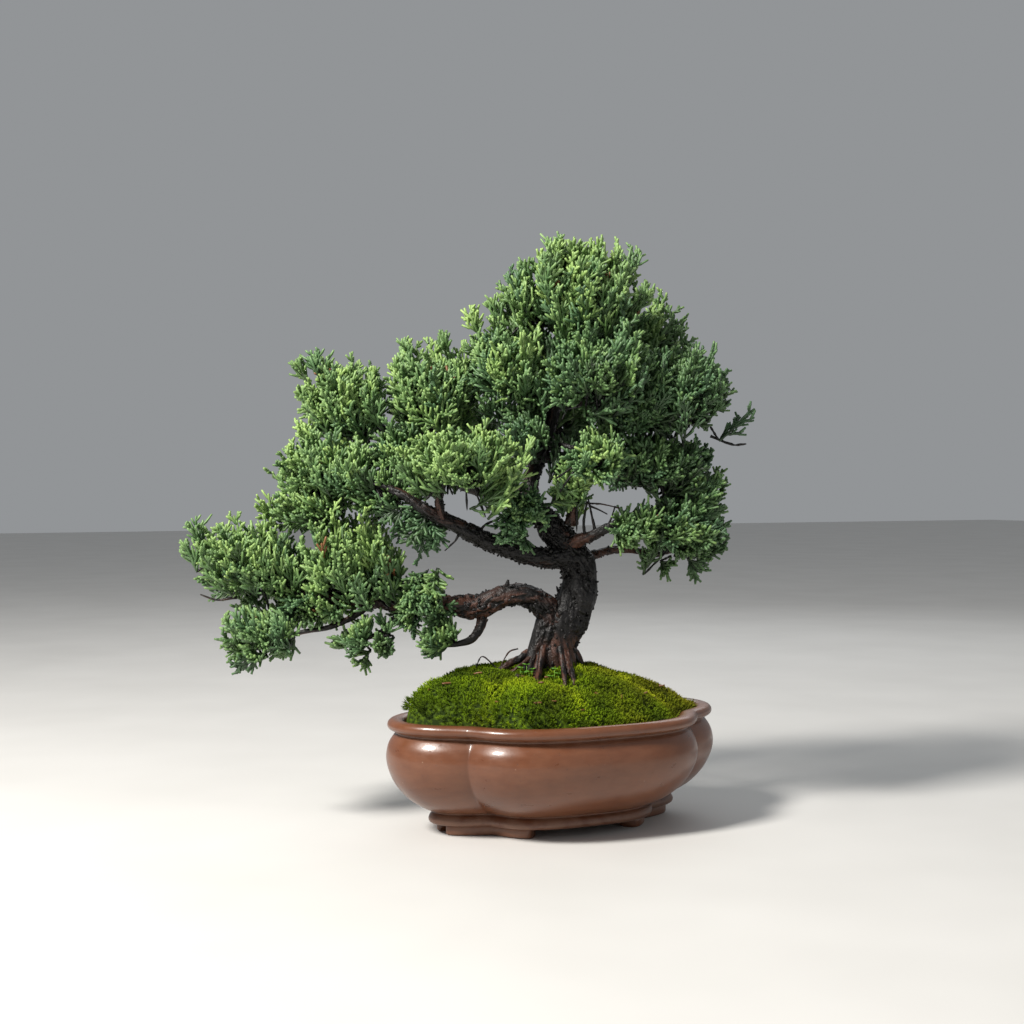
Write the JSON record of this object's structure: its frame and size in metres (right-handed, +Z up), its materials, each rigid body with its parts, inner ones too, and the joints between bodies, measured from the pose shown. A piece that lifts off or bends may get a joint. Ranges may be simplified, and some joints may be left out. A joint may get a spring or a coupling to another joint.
{
  "type": "bonsai tree in a pot",
  "caption": "Small juniper bonsai with a curved trunk and layered foliage pads, standing in moss in a four-lobed brown stoneware pot on bracket feet.",
  "frame": {"origin": "middle of the whole plant's box, on the surface that the pot's feet stand on", "axes": "+Z up, X along the pot's long side, -Y out of the pot's front; the tree's viewing side is turned 26.2 degrees from the pot's front, towards -X"},
  "size_m": [0.2216, 0.128, 0.2492],
  "materials": {
    "stoneware": "satin",
    "mesh_plastic": "matte",
    "aluminium_wire": "satin",
    "grit": "matte",
    "earth": "matte",
    "moss": "matte",
    "bark": "matte",
    "foliage": "matte"
  },
  "bodies": {
    "root": {"back_left_limb": "bark", "back_limb": "bark", "back_right_limb": "bark", "crown_front_twig": "bark", "crown_left_twig": "bark", "crown_low_limb": "bark", "crown_right_limb": "bark", "drain_screen_left": "mesh_plastic", "drain_screen_right": "mesh_plastic", "drainage_layer": "grit", "foliage_back_left": "foliage", "foliage_back_low": "foliage", "foliage_back_right": "foliage", "foliage_centre_hanging": "foliage", "foliage_crown_front": "foliage", "foliage_crown_gap": "foliage", "foliage_crown_inner": "foliage", "foliage_crown_left": "foliage", "foliage_crown_right": "foliage", "foliage_crown_right_low": "foliage", "foliage_crown_rise": "foliage", "foliage_crown_top": "foliage", "foliage_far_left": "foliage", "foliage_front_cluster": "foliage", "foliage_inner_hanging": "foliage", "foliage_left_drooping": "foliage", "foliage_left_hanging": "foliage", "foliage_left_inner": "foliage", "foliage_left_middle": "foliage", "foliage_left_rise": "foliage", "foliage_left_shelf": "foliage", "foliage_left_shoulder": "foliage", "foliage_left_under": "foliage", "foliage_lower_left_tip": "foliage", "foliage_pale_spray": "foliage", "foliage_right_edge": "foliage", "foliage_right_inner": "foliage", "foliage_right_low": "foliage", "foliage_shelf_bridge": "foliage", "foliage_shelf_under": "foliage", "foliage_trunk_tuft": "foliage", "foliage_upper_left": "foliage", "front_twig": "bark", "hanging_twig": "bark", "left_hanging_twig": "bark", "low_left_fork": "bark", "low_left_limb": "bark", "mid_left_limb": "bark", "moss": "moss", "pale_twig": "bark", "pot": "stoneware", "right_lower_limb": "bark", "right_upper_limb": "bark", "screen_clip_left": "aluminium_wire", "screen_clip_right": "aluminium_wire", "soil": "earth", "trunk": "bark", "upper_left_fork": "bark", "upper_left_limb": "bark"}
  },
  "joints": []
}
